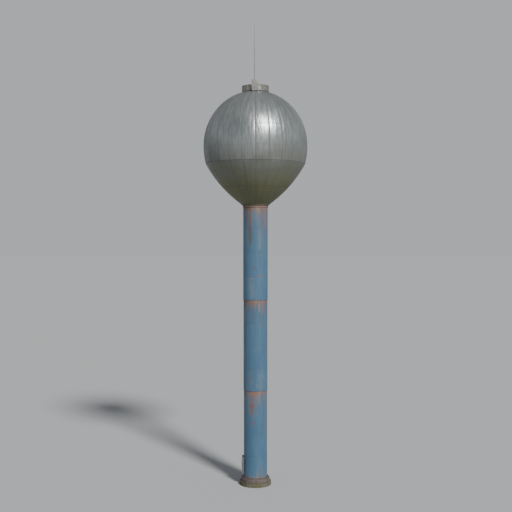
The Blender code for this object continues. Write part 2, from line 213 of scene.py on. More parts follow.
def open_piece(name):
    """Name the primitive just added, put its place into its mesh and open it for editing."""
    piece = bpy.context.object
    piece.name = name
    piece.data.name = name
    bpy.ops.object.transform_apply(location=True, rotation=True, scale=True)
    bpy.ops.object.mode_set(mode="EDIT")
    bpy.ops.mesh.select_mode(type="VERT")
    return piece


def pick(kind, test):
    """Select just those verts, edges or faces of the open mesh that pass the test."""
    bpy.ops.mesh.select_mode(type={"verts": "VERT", "edges": "EDGE", "faces": "FACE"}[kind])
    bpy.ops.mesh.select_all(action="DESELECT")
    mesh = bpy.context.edit_object.data
    shape = bmesh.from_edit_mesh(mesh)
    shape.normal_update()
    for element in getattr(shape, kind):
        if test(element):
            element.select_set(True)
    shape.select_flush_mode()
    bmesh.update_edit_mesh(mesh)


def radius_of(vert):
    return math.hypot(vert.co.x, vert.co.y)


def face_outwards():
    """Turn all faces of the open mesh outwards."""
    bpy.ops.mesh.select_all(action="SELECT")
    bpy.ops.mesh.normals_make_consistent(inside=False)


def turn(name, profile, sides=COLUMN_SIDES, centre=(0.0, 0.0), closed=True):
    """Piece drawn ring by ring: a circle is extruded and drawn in or out to each point of the profile."""
    let_go()
    first_radius, first_height = profile[0]
    bpy.ops.mesh.primitive_circle_add(
        vertices=sides, radius=first_radius, fill_type="NOTHING", location=(*centre, first_height),
    )
    piece = open_piece(name)
    bpy.ops.mesh.select_all(action="SELECT")
    path = profile + profile[:1] if closed else profile
    for (radius, height), (next_radius, next_height) in zip(path, path[1:]):
        rise = (0.0, 0.0, next_height - height)
        bpy.ops.mesh.extrude_region_move(TRANSFORM_OT_translate={"value": rise})
        size = next_radius / radius
        bpy.ops.transform.resize(value=(size, size, 1.0), center_override=(*centre, next_height))
    bpy.ops.mesh.select_all(action="SELECT")
    bpy.ops.mesh.remove_doubles(threshold=SAME_PLACE)
    face_outwards()
    if not closed:
        bpy.ops.mesh.select_mode(type="EDGE")
        bpy.ops.mesh.select_all(action="DESELECT")
        bpy.ops.mesh.select_non_manifold()
        bpy.ops.mesh.edge_face_add()
        face_outwards()
    return piece


def block(name, middle, size):
    """Open a new upright block."""
    let_go()
    bpy.ops.mesh.primitive_cube_add(size=1.0, location=middle, scale=size)
    return open_piece(name)


def bolt_head(name, foot, radius, height, bevel, sides=6, segments=1, forwards=False):
    """Open a new head or nut that stands up or else forwards from its foot, bevelled round its outer end."""
    let_go()
    outwards = Vector((0.0, -1.0, 0.0)) if forwards else Vector((0.0, 0.0, 1.0))
    middle = Vector(foot) + outwards * (height / 2.0)
    tilt = math.radians(90.0) if forwards else 0.0
    bpy.ops.mesh.primitive_cylinder_add(
        vertices=sides, radius=radius, depth=height, location=middle, rotation=(tilt, 0.0, 0.0),
    )
    piece = open_piece(name)
    pick("edges", lambda edge: all((vert.co - middle).dot(outwards) > 0.0 for vert in edge.verts))
    bpy.ops.mesh.bevel(offset=bevel, segments=segments)
    return piece


def press(test, *steps, apart=False):
    """Press the faces that pass the test in or out, in steps of (width, depth)."""
    pick("faces", test)
    for width, depth in steps:
        bpy.ops.mesh.inset(thickness=width, depth=depth, use_individual=apart)


def apply_modifiers(piece):
    take(piece)
    for modifier in list(piece.modifiers):
        bpy.ops.object.modifier_apply(modifier=modifier.name)


def fold_edges(piece, width, degrees):
    """Round those edges of a piece that turn by more than so many degrees."""
    bevel = piece.modifiers.new("folded_edges", "BEVEL")
    bevel.width = width
    bevel.segments = 2
    bevel.limit_method = "ANGLE"
    bevel.angle_limit = math.radians(degrees)
    apply_modifiers(piece)


def join_pieces(pieces, name):
    """Make one piece of several."""
    take(pieces[0])
    for piece in pieces:
        piece.select_set(True)
    bpy.ops.object.join()
    pieces[0].name = name
    return pieces[0]


def ring_copies(piece, amount):
    """Repeat a piece round the tower's axis."""
    reopen(piece)
    bpy.ops.mesh.select_all(action="SELECT")
    bpy.ops.mesh.spin(
        steps=amount - 1, dupli=True, angle=math.tau * (amount - 1) / amount, center=(0.0, 0.0, 0.0),
        axis=(0.0, 0.0, 1.0),
    )


def weld_beads(name, source, is_weld, radius, middle, reach):
    """Beads along some of a piece's edges: copied, sunk towards its middle and given a round section."""
    reopen(source)
    pick("edges", is_weld)
    bpy.ops.mesh.duplicate()
    size = 1.0 - (radius - BEAD_ROOM) / reach
    upright = size if middle.z else 1.0
    bpy.ops.transform.resize(value=(size, size, upright), center_override=middle)
    bpy.ops.mesh.separate(type="SELECTED")
    bpy.ops.object.mode_set(mode="OBJECT")
    beads = next(thing for thing in bpy.context.selected_objects if thing != source)
    beads.name = name
    take(beads)
    bpy.ops.object.convert(target="CURVE")
    beads.data.bevel_depth = radius
    beads.data.bevel_resolution = 1
    beads.data.use_fill_caps = True
    bpy.ops.object.convert(target="MESH")
    beads.data.name = name
    return beads


def weigh(piece, group_name, weight):
    """Vertex group whose weight at each vertex the given function tells."""
    let_go()
    group = piece.vertex_groups.new(name=group_name)
    for vert in piece.data.vertices:
        group.add([vert.index], weight(vert.co), "REPLACE")


def weathering(piece, name, kind, size, depth, group, contrast):
    """Eat a surface away by up to depth, with a procedural texture."""
    texture = bpy.data.textures.new(name, kind)
    texture.noise_scale = size
    texture.contrast = contrast
    modifier = piece.modifiers.new(name, "DISPLACE")
    modifier.texture = texture
    modifier.texture_coords = "LOCAL"
    modifier.mid_level = 1.0
    modifier.strength = depth
    modifier.vertex_group = group


def paint_over(thing, finish):
    """Give a piece, or a CAD node that stays, its material, which is made when first asked for."""
    make, *details = FINISHES[finish]
    thing.data.materials.clear()
    thing.data.materials.append(bpy.data.materials.get(finish) or make(finish, *details))


def hand_over(piece, finish, replaced=(), body="tower", sharp=SMOOTH_ANGLE):
    """Smooth, paint and place a finished piece on its body."""
    take(piece)
    bpy.ops.object.shade_smooth_by_angle(angle=math.radians(sharp))
    paint_over(piece, finish)
    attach(piece, body)
    if replaced:
        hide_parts(*replaced)
    let_go()


# Painting

class Value:
    """One output of a paint's nodes. What is reckoned with it becomes nodes too."""

    def __init__(self, paint, socket):
        self.paint = paint
        self.socket = socket

    def __add__(self, other):
        return self.paint.maths("ADD", self, other)

    def __sub__(self, other):
        return self.paint.maths("SUBTRACT", self, other)

    def __rsub__(self, other):
        return self.paint.maths("SUBTRACT", other, self)

    def __mul__(self, other):
        return self.paint.maths("MULTIPLY", self, other)

    def __truediv__(self, other):
        return self.paint.maths("DIVIDE", self, other)

    def __gt__(self, other):
        return self.paint.maths("GREATER_THAN", self, other)

    def __lt__(self, other):
        return self.paint.maths("LESS_THAN", self, other)


class Paint:
    """One material under way. Its methods add nodes, and take numbers, values and names of colours."""

    def __init__(self, name, **shader_settings):
        self.material = bpy.data.materials.new(name)
        self.material.use_nodes = True
        self.tree = self.material.node_tree
        self.shader = self.tree.nodes["Principled BSDF"]
        self.colours = bpy.context.scene.tower_colours
        self.set_shader(**shader_settings)
        self.place = self.node("ShaderNodeTexCoord", output="Object")
        split = self.node("ShaderNodeSeparateXYZ", self.place).socket.node
        self.x, self.y, self.z = (Value(self, socket) for socket in split.outputs)

    def set_shader(self, **settings):
        """Feed the shader's inputs, named in lower case with underscores."""
        for socket in self.shader.inputs:
            self.feed(socket, settings.get(socket.name.lower().replace(" ", "_")))

    def feed(self, socket, value):
        if isinstance(value, Value):
            self.tree.links.new(value.socket, socket)
        elif isinstance(value, str):
            socket.default_value = self.shade(value)
        elif value is not None:
            socket.default_value = value

    def shade(self, name, strength=1.0):
        """Colour from the settings, made paler or darker."""
        return (*(min(1.0, part * strength) for part in getattr(self.colours, name)), 1.0)

    def node(self, kind, *inputs, output=0, named=None, **settings):
        """Add a node, feed its inputs by place and by name, and hand back one output."""
        made = self.tree.nodes.new(kind)
        for key, value in settings.items():
            setattr(made, key, value)
        for key, value in (*enumerate(inputs), *(named or {}).items()):
            self.feed(made.inputs[key], value)
        return Value(self, made.outputs[output])

    def maths(self, operation, *values):
        return self.node("ShaderNodeMath", *values, operation=operation)

    def vector(self, operation, *values):
        output = 1 if operation == "LENGTH" else 0
        return self.node("ShaderNodeVectorMath", *values, operation=operation, output=output)

    def point(self, x, y, z=0.0):
        return self.node("ShaderNodeCombineXYZ", x, y, z)

    def fade(self, value, start, end, low=0.0, high=1.0):
        """Smooth step of a value from low to high as it goes from start to end."""
        return self.node("ShaderNodeMapRange", value, start, end, low, high, interpolation_type="SMOOTHSTEP")

    def noise(self, scale, detail=4.0, roughness=0.55, drawn=1.0, place=None):
        """Noise that is drawn out upwards where drawn is under one."""
        stretched = self.vector("MULTIPLY", place or self.place, (1.0, 1.0, drawn))
        named = {"Scale": scale, "Detail": detail, "Roughness": roughness}
        return self.node("ShaderNodeTexNoise", stretched, named=named)

    def cells(self, scale):
        """Distance to the middle of the nearest of many cells."""
        return self.node("ShaderNodeTexVoronoi", self.place, named={"Scale": scale}, output="Distance")

    def mix(self, factor, first, second):
        return self.node("ShaderNodeMix", data_type="RGBA", named={0: factor, 6: first, 7: second}, output=2)

    def near(self, value, centre, reach):
        """One at centre, falling to nought at reach away on both sides."""
        return self.fade(self.maths("ABSOLUTE", value - centre), 0.0, reach, 1.0, 0.0)

    def hanging(self, distance, reach):
        """One at a line, falling to nought at reach away on the far side of it."""
        return self.fade(distance, 0.0, reach, 1.0, 0.0) * (distance > -0.004)

    def strongest(self, first, *others):
        for value in others:
            first = self.maths("MAXIMUM", first, value)
        return first

    def around(self):
        """Direction round the tower's axis."""
        return self.maths("ARCTAN2", self.y, self.x)

    def aside(self, around, degrees):
        """Angle from a direction, or from the opposite one where that is nearer."""
        return self.maths("PINGPONG", around - math.radians(degrees - 360.0), math.pi / 2.0)

    def relief(self, *layers):
        """Bumps of (height, depth in metres), the later over the earlier."""
        normal = None
        for height, depth in layers:
            named = {"Strength": 1.0, "Distance": depth, "Height": height, "Normal": normal}
            normal = self.node("ShaderNodeBump", named=named)
        self.set_shader(normal=normal)

    def done(self, base_color, roughness, metallic=None):
        self.set_shader(base_color=base_color, roughness=roughness, metallic=metallic)
        return self.material


def tank_paint(name):
    """Streaked silver paint that goes olive with grime down the bowl, darkened as painted shade towards the
    bottom, with dirt along each weld.
    """
    gores = bpy.context.scene.tower_tank.gores
    paint = Paint(name, specular_ior_level=0.3, specular_tint=(0.55, 0.57, 0.58, 1.0))
    z = paint.z
    around = paint.around()
    level = paint.point(paint.x, paint.y)
    meridian = paint.vector("ADD", paint.vector("NORMALIZE", level), paint.point(0.0, 0.0, z * 0.055))
    gore = around * (gores / math.tau)
    in_gore = paint.maths("ABSOLUTE", gore - paint.maths("ROUND", gore))
    seam_distance = in_gore * (math.tau / gores) * paint.vector("LENGTH", level)
    plate = paint.point(paint.maths("FLOOR", gore), (z > BELT_SEAM) + (z > DOME_SEAM))
    plate_tone = paint.node("ShaderNodeTexWhiteNoise", plate, noise_dimensions="3D", output="Value")
    streaks = paint.noise(26.0, 5.0, 0.62, place=meridian)
    wide_streaks = paint.noise(14.0, 3.0, 0.5, place=meridian)
    cloud = paint.noise(0.7, 5.0, 0.6)
    fine = paint.noise(9.0, 6.0, 0.65)
    grain = paint.noise(70.0, 4.0, 0.6)
    # Chalked silver, with every plate a little different; the top of the dome is painted paler as painted
    # light
    worn = streaks * 0.56 + cloud * 0.44 + paint.fade(z, 22.6, 24.8, -0.03, 0.06)
    silver = paint.mix(paint.fade(worn, 0.36, 0.62), "silver", "silver_worn")
    toned = paint.mix(paint.fade(plate_tone, 0.0, 1.0, 0.0, 0.08), silver, "seam_dirt")
    # Grey haze on the belt and olive grime below it; both are also painted shade, darkening the tank towards
    # the bottom
    ragged = z + paint.fade(streaks, 0.3, 0.7, -0.14, 0.14) + paint.fade(cloud, 0.3, 0.7, -0.24, 0.24)
    haze_and_shade = paint.fade(ragged, 23.6, 21.0, 0.0, 0.80)
    grime_and_shade = paint.fade(ragged, 21.6, 19.3, 0.0, 0.97)
    dirty_and_shaded = paint.mix(grime_and_shade, paint.mix(haze_and_shade, toned, "haze_and_shade"), "grime_and_shade")
    # Dirt along the welds: soft beside each upright one, with a crisp core
    upright = paint.fade(seam_distance, 0.010, 0.060, 0.90, 0.0) * paint.fade(streaks, 0.35, 0.6, 0.65, 1.0)
    upright = paint.strongest(upright, paint.fade(seam_distance, 0.004, 0.010, 0.90, 0.0))
    upright *= paint.fade(z, BELT_SEAM - 0.1, BELT_SEAM + 0.1, 0.35, 1.0)
    upright *= paint.fade(z, GIRTH_SEAM, DOME_SEAM, 0.70, 1.0)
    belt_line = paint.near(z, BELT_SEAM, 0.050) * 0.65
    other_lines = paint.strongest(
        paint.near(z, DOME_SEAM, 0.03), paint.near(z, GIRTH_SEAM, 0.03), paint.near(z, BOWL_SEAM, 0.035),
    )
    other_lines *= paint.fade(fine, 0.3, 0.7, 0.20, 0.60)
    lines = paint.strongest(upright, belt_line, other_lines)
    seamed = paint.mix(lines, dirty_and_shaded, "seam_dirt")
    # Rusty drips under the belt's weld, and rust spots
    drips = paint.fade(paint.noise(60.0, 3.0, place=meridian), 0.60, 0.72, 0.0, 0.30)
    under_seam = paint.fade(z, BELT_SEAM - 0.75, BELT_SEAM - 0.05) * (z < BELT_SEAM)
    stained = paint.mix(drips * under_seam, seamed, "rust")
    dotted = paint.noise(5.0, 3.0, 0.5) + paint.fade(z, 23.2, 25.2, -0.05, 0.025)
    rusty = paint.mix(paint.fade(dotted, 0.69, 0.75) * 0.85, stained, "rust_bright")
    # Dark specks, most of them in front
    speck = paint.cells(8.0) + paint.fade(paint.noise(45.0, 3.0), 0.3, 0.7, -0.12, 0.12)
    in_front = paint.fade(paint.aside(around, 277.0), 0.05, 0.22, 1.0, 0.0) * paint.near(z, 22.8, 0.9)
    spotted = paint.strongest(in_front, paint.fade(paint.noise(1.3, 2.0), 0.58, 0.66)) * 0.70
    speckled = paint.mix(paint.fade(speck, 0.07, 0.16, 1.0, 0.0) * spotted, rusty, "seam_dirt")
    dulled = paint.strongest(grime_and_shade, haze_and_shade * 0.60)
    rough = paint.fade(streaks, 0.3, 0.7, 0.285, 0.41) + dulled * 0.26 + lines * 0.20
    metal = paint.fade(dulled + lines, 0.0, 0.9, 0.72, 0.0)
    drawn_in = paint.fade(seam_distance, 0.0, 0.17)
    paint.relief(
        (drawn_in, 0.011), (wide_streaks, 0.034), (streaks, 0.008), (cloud, 0.014), (fine, 0.0012),
        (grain, 0.0003),
    )
    return paint.done(speckled, rough, metal)


# Runs that stand out on the column, and again on its far side:
# direction in degrees, half width, top, length, strength, colour
COLUMN_RUNS = (
    (244.4, 0.125, 18.30, 3.45, 1.00, "rust_wash"),
    (245.5, 0.085, 18.30, 1.30, 0.60, "rust_bright"),
    (258.6, 0.036, 18.30, 0.50, 0.80, "rust_bright"),
    (224.0, 0.170, 18.30, 1.35, 0.65, "rust_wash"),
    (284.2, 0.105, 18.26, 0.42, 0.70, "rust_pale"),
    (304.6, 0.100, 18.30, 1.25, 0.60, "rust_wash"),
    (302.0, 0.500, 18.30, 3.40, 0.32, "primer"),
    (228.0, 0.320, 18.30, 2.40, 0.35, "rust_wash"),
    (326.6, 0.170, 18.30, 1.90, 0.80, "primer"),
    (250.0, 0.260, 12.19, 1.60, 0.50, "rust_wash"),
    (298.0, 0.420, 12.19, 2.00, 0.30, "primer"),
    (326.0, 0.090, 12.19, 3.60, 0.40, "primer"),
    (266.0, 0.900, 12.19, 0.42, 0.50, "rust_bright"),
    (248.6, 0.200, 12.19, 0.60, 0.75, "rust_bright"),
    (288.9, 0.050, 12.19, 0.85, 0.80, "rust_pale"),
    (327.2, 0.110, 12.19, 0.85, 0.65, "rust_red"),
    (211.0, 0.260, 12.19, 0.55, 0.55, "rust_wash"),
    (252.0, 0.270, 6.24, 1.70, 0.65, "rust_wash"),
    (262.0, 0.480, 6.24, 1.90, 0.38, "primer"),
    (270.0, 0.900, 6.24, 0.40, 0.50, "rust_bright"),
    (253.3, 0.270, 6.24, 0.50, 0.75, "rust_bright"),
    (289.7, 0.050, 6.24, 0.62, 0.80, "rust_pale"),
    (250.0, 0.240, 6.24, 2.70, 0.50, "primer"),
    (327.8, 0.130, 6.24, 3.30, 0.60, "primer"),
)

# Patches, and again on the far side: direction in degrees, half width, middle, half height, strength, colour
COLUMN_PATCHES = (
    (290.0, 0.150, 16.05, 0.75, 0.40, "chalk"),
    (263.3, 0.160, 14.27, 0.13, 0.75, "rust_wash"),
    (292.5, 0.300, 13.77, 0.06, 0.65, "rust_bright"),
    (251.0, 0.280, 13.60, 0.12, 0.50, "primer"),
    (251.4, 0.300, 12.85, 0.75, 0.42, "chalk"),
    (242.0, 0.030, 9.65, 0.30, 0.60, "chalk"),
    (295.0, 0.380, 6.90, 0.75, 0.34, "chalk"),
    (243.0, 0.300, 6.95, 0.70, 0.28, "primer"),
    (253.3, 0.170, 5.30, 0.17, 0.85, "rust_red"),
    (287.2, 0.200, 5.55, 0.40, 0.45, "primer"),
    (256.0, 0.200, 4.95, 0.28, 0.40, "rust_wash"),
    (257.7, 0.150, 4.16, 0.17, 0.60, "rust_red"),
    (297.5, 0.300, 1.00, 0.55, 0.22, "rust_wash"),
)


def course_heights(bottom, top, courses):
    return [bottom + (top - bottom) * step / courses for step in range(1, courses)]


def column_paint(name):
    """Faded blue paint that has run with rust below every joint, with scuffed course welds."""
    paint = Paint(name, specular_ior_level=0.4)
    z = paint.z
    around = paint.around()
    runs = paint.noise(13.0, 5.0, 0.6, 0.05)
    thin_runs = paint.noise(38.0, 4.0, 0.6, 0.03)
    wide_runs = paint.noise(5.0, 2.0, 0.5, 0.10)
    stripes = paint.noise(18.0, 3.0, 0.6, 0.06)
    patches = paint.noise(3.4, 6.0, 0.65, 0.5)
    fine = paint.noise(28.0, 6.0, 0.65)
    grain = paint.noise(110.0, 4.0, 0.6)
    cloud = paint.noise(0.9, 4.0, 0.5, 0.4)
    blue = paint.mix(paint.fade(runs * 0.45 + cloud * 0.55, 0.38, 0.66), "blue", "blue_faded")
    # How far a place is below the joint over it, and what hangs from there
    below = RING_FOOT - z
    for joint, above in ((UPPER_JOINT, RING_FOOT), (LOWER_JOINT, UPPER_JOINT)):
        below -= (z < joint) * (above - joint)
    stretch = (z > UPPER_JOINT) * 0.4 + 1.0
    rusting = paint.hanging(below, paint.fade(thin_runs, 0.43, 0.66, 0.05, 1.05) * stretch)
    peel_reach = paint.fade(runs, 0.46, 0.56, 0.06, 1.0) * paint.fade(wide_runs, 0.35, 0.65, 0.4, 2.0)
    peeling = paint.hanging(below, peel_reach * stretch)
    foot = z - COLUMN_FOOT
    foot_rust = paint.hanging(foot, paint.fade(runs, 0.38, 0.68, 0.08, 0.80))
    collar = z > RING_FOOT
    primed = paint.strongest(
        peeling * 0.60,
        paint.fade(patches, 0.60, 0.67) * paint.fade(below, 0.2, 3.5, 0.45, 0.06),
        foot_rust * 0.60,
        collar * paint.fade(runs, 0.30, 0.5, 0.70, 1.0),
    )
    foot_edge = paint.hanging(foot, paint.fade(fine, 0.35, 0.65, 0.03, 0.16))
    eaten = paint.strongest(
        rusting * 0.80,
        paint.hanging(below, paint.fade(fine, 0.35, 0.65, 0.02, 0.09)) * 0.85,
        foot_edge * paint.fade(patches, 0.42, 0.56, 0.0, 0.5),
        collar * paint.fade(thin_runs, 0.48, 0.62, 0.0, 0.7),
    )
    tone = paint.mix(paint.fade(fine, 0.35, 0.65, 0.30, 1.0), "rust", "rust_bright")
    tone = paint.mix(paint.fade(stripes, 0.52, 0.62, 0.0, 0.75), tone, "rust_pale")
    rusty = paint.mix(eaten, paint.mix(primed, blue, "primer"), tone)
    # Runs: the narrow ones stay whole, the wide ones break into stripes
    wobble = paint.fade(thin_runs, 0.3, 0.7, 0.45, 1.55)
    streaked = paint.fade(paint.noise(30.0, 3.0, 0.5, 0.04), 0.40, 0.60, 0.55, 1.10)
    striped = paint.fade(stripes, 0.40, 0.56, 1.15, 0.35)
    rust_tone = paint.fade(fine, 0.3, 0.7, 0.0, 0.35)
    for degrees, half_width, top, long, strength, tint in COLUMN_RUNS:
        edge = wobble * (half_width / STAIN_RADIUS)
        across = paint.fade(paint.aside(around, degrees), edge * 0.3, edge, 1.0, 0.0)
        down = top - z
        spread = min(1.0, half_width / 0.25)
        reach = (streaked * spread + (1.0 - spread)) * long
        along = paint.fade(down, reach * (0.85 - 0.25 * spread), reach, 1.0, 0.0)
        along *= paint.fade(down, -0.02, 0.06)
        run = across * along * (striped * spread + (1.0 - spread)) * strength
        rusty = paint.mix(run, rusty, paint.mix(rust_tone, tint, "rust"))
    ragged = paint.fade(paint.noise(7.0, 6.0, 0.72, 0.45), 0.3, 0.7, 0.55, -0.55)
    for degrees, half_width, middle, half_height, strength, tint in COLUMN_PATCHES:
        sideways = paint.aside(around, degrees) / (half_width / STAIN_RADIUS)
        away = paint.vector("LENGTH", paint.point(sideways, (z - middle) / half_height))
        rusty = paint.mix(paint.fade(away + ragged, 0.35, 1.05, strength, 0.0), rusty, tint)
    # Welds
    lap = paint.hanging(below, 0.035) * 0.75
    courses = bpy.context.scene.tower_column.courses
    heights = [height for span in COLUMN_SPANS for height in course_heights(*span, courses)]
    welds = paint.strongest(*(paint.near(z, height, 0.028) for height in heights))
    weld_rust = welds * paint.fade(patches, 0.42, 0.62, 0.08, 0.50)
    seamed = paint.mix(paint.strongest(lap, weld_rust), rusty, "rust")
    bare = paint.strongest(primed, eaten)
    rough = paint.fade(bare, 0.0, 1.0, 0.46, 0.90) + paint.fade(fine, 0.3, 0.7, -0.05, 0.08)
    flaky = fine * 0.4 - bare
    paint.relief((cloud, 0.012), (runs, 0.0015), (flaky, 0.0012), (fine, 0.0008), (grain, 0.0002))
    return paint.done(seamed, rough)


def rusted_steel(name):
    """Rust with traces of blue paint and pinkish primer."""
    paint = Paint(name, metallic=0.1)
    broad = paint.noise(4.0, 6.0, 0.6)
    fine = paint.noise(30.0, 6.0, 0.7)
    rust = paint.mix(paint.fade(fine, 0.38, 0.78, 0.0, 0.6), "rust", "rust_bright")
    primed = paint.mix(paint.fade(broad, 0.40, 0.56, 0.1, 0.65), rust, "primer")
    traces = paint.mix(paint.fade(paint.noise(7.0, 5.0), 0.46, 0.60, 0.0, 0.65), primed, "blue_faded")
    paint.relief((broad, 0.006), (fine, 0.002))
    return paint.done(paint.mix(0.16, traces, "soot"), paint.fade(fine, 0.3, 0.7, 0.70, 0.95))


def mossy_concrete(name, base, moss_amount):
    """Pitted concrete with moss, more of it where moss_amount is higher."""
    paint = Paint(name)
    broad = paint.noise(2.2, 5.0, 0.6)
    grain = paint.noise(45.0, 6.0, 0.7)
    cushions = paint.noise(18.0, 6.0, 0.68)
    toned = paint.mix(paint.fade(grain, 0.3, 0.7), base, paint.shade(base, 1.5))
    drips = paint.fade(paint.noise(9.0, 5.0, 0.6, 0.18), 0.46, 0.62, 0.0, 0.7)
    stained = paint.mix(drips, toned, "primer")
    rust = paint.fade(paint.noise(14.0, 4.0, 0.6, 0.3), 0.60, 0.72, 0.0, 0.8)
    rusty = paint.mix(rust, stained, "rust")
    cover = broad * 0.6 + cushions * 0.4 + paint.fade(paint.x, 0.15, 0.80, 0.0, -0.10)
    cover = paint.fade(cover, 0.62 - 0.22 * moss_amount, 0.72 - 0.22 * moss_amount)
    moss = paint.mix(paint.fade(cushions, 0.38, 0.62), "moss_dark", "moss")
    green = paint.mix(cover, rusty, moss)
    sparse = paint.fade(paint.noise(6.0, 3.0), 0.45, 0.65, 0.04, 0.30)
    pits = paint.fade(paint.cells(48.0), 0.0, sparse, 1.0, 0.0)
    dark = paint.mix(pits * 0.75, green, "soot")
    patchy = paint.mix(paint.fade(paint.noise(5.0, 6.0, 0.7), 0.40, 0.66, 0.0, 0.45), dark, "soot")
    paint.relief((broad, 0.020), (cover * (cushions + 0.3), 0.006), (pits, -0.004), (grain, 0.003))
    return paint.done(patchy, paint.fade(cover, 0.0, 1.0, 0.86, 0.97))


def plain_paint(name, tint, metallic, roughness, rust_share, junction=None, foot=None):
    """Aged coat of paint with chalky patches, runs of dirt and rust that starts in spots.

    Within the junction's radius of the tower's axis, and below the foot's height, it is darkened with soot
    colour as painted shade.
    """
    paint = Paint(name, metallic=metallic)
    broad = paint.noise(3.0, 5.0, 0.6)
    fine = paint.noise(55.0, 6.0, 0.65)
    chalk = paint.mix(paint.fade(broad, 0.35, 0.65), tint, paint.shade(tint, 1.35))
    runs = paint.fade(paint.noise(30.0, 4.0, 0.6, 0.08), 0.50, 0.68, 0.0, 0.5)
    dirty_and_shaded = paint.mix(runs, chalk, "seam_dirt")
    # painted shade where the door frame meets the column
    if junction is not None:
        out = paint.vector("LENGTH", paint.point(paint.x, paint.y))
        dirty_and_shaded = paint.mix(paint.fade(out, junction, junction + 0.04, 0.92, 0.0), dirty_and_shaded, "soot")
    # painted shade along the piece's foot, where it meets the dome
    if foot is not None:
        dirty_and_shaded = paint.mix(paint.fade(paint.z, foot, foot + 0.05, 0.85, 0.0), dirty_and_shaded, "soot")
    spots = paint.noise(11.0, 5.0, 0.6) * 0.7 + fine * 0.3
    bare = paint.fade(spots, 0.72 - 0.2 * rust_share, 0.78 - 0.2 * rust_share)
    rust = paint.mix(paint.fade(fine, 0.35, 0.65), "rust", "rust_bright")
    rough = bare * 0.35 + paint.fade(fine, 0.3, 0.7, roughness - 0.06, roughness + 0.1)
    paint.relief((broad, 0.004), (bare, -0.0006), (fine, 0.0004))
    return paint.done(paint.mix(bare, dirty_and_shaded, rust), rough)


def galvanised(name):
    """Dull zinc with its spangle, and rust that has started in places."""
    paint = Paint(name, metallic=0.75)
    spangle = paint.fade(paint.cells(60.0), 0.0, 0.8)
    zinc = paint.mix(spangle, "zinc", paint.shade("zinc", 0.72))
    fine = paint.noise(70.0, 5.0, 0.6)
    share = paint.fade(paint.noise(16.0, 5.0, 0.6), 0.58, 0.68, 0.0, 0.85)
    rust = paint.mix(paint.fade(fine, 0.4, 0.6), "rust", "rust_bright")
    paint.relief((spangle, 0.0003), (fine, 0.0003))
    return paint.done(paint.mix(share, zinc, rust), share * 0.35 + 0.46)


def floor_paint(name):
    """Pale matt floor with the faintest cloud in it."""
    paint = Paint(name, specular_ior_level=0.1)
    return paint.done(paint.mix(paint.noise(0.05, 3.0), "floor", paint.shade("floor", 0.97)), 0.95)


# Plinth

TIER_SIDES = 360
TIER_CHAMFER = 0.02
TIER_ROWS = 12                # rings of facets up a step's side
TIER_RINGS = 5                # and across its top
WORN_DEPTH = 0.07             # how far below its top a step's rim has chipped
BEARING_ROOM = 0.004          # unworn rim round the flat bed of what stands on a step
FOOT_ROOM = 0.002             # unworn strip along a step's foot


class PlinthOperator(bpy.types.Operator):
    """Cast the two round steps of the plinth, worn and chipped."""

    bl_idname = "tower.plinth"
    bl_label = "Plinth"

    def execute(self, context):
        for node, name, slot, flat in (
            ("plinth_lower_tier", "lower_step", "mossy_concrete", 0.90),
            ("plinth_upper_tier", "upper_step", "stained_concrete", 0.875),
        ):
            low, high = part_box(node)
            radius = high.x
            inner = radius - TIER_CHAMFER
            side = high.z - TIER_CHAMFER - low.z
            profile = [(radius, low.z + side * row / TIER_ROWS) for row in range(TIER_ROWS + 1)]
            profile += [(radius - TIER_CHAMFER * 0.5, high.z - TIER_CHAMFER * 0.4), (inner, high.z)]
            for ring in range(1, TIER_RINGS + 1):
                profile.append((inner + (flat - inner) * ring / TIER_RINGS, high.z))
            tier = turn(name, profile, TIER_SIDES, closed=False)

            def worn(place):
                on_bed = math.hypot(place.x, place.y) < flat + BEARING_ROOM
                return 0.0 if on_bed or place.z < low.z + FOOT_ROOM else 1.0

            def rim(place):
                return worn(place) * max(0.0, 1.0 - (high.z - place.z) / WORN_DEPTH)

            weigh(tier, "worn", worn)
            weigh(tier, "rim", rim)
            weathering(tier, name + "_waves", "CLOUDS", 0.22, 0.016, "worn", 1.0)
            weathering(tier, name + "_pits", "CLOUDS", 0.045, 0.006, "worn", 1.5)
            weathering(tier, name + "_chips", "STUCCI", 0.09, 0.022, "rim", 2.0)
            apply_modifiers(tier)
            hand_over(tier, name + "_concrete", (node,), sharp=50.0)
        return {"FINISHED"}


FLANGE_BORE = 0.72
FLANGE_EDGE = 0.004
FLANGE_FILLET = 0.018
WASHER_THICKNESS = 0.005
STUD_HEIGHT = 0.027           # above the nut
STUD_CHAMFER = 0.005


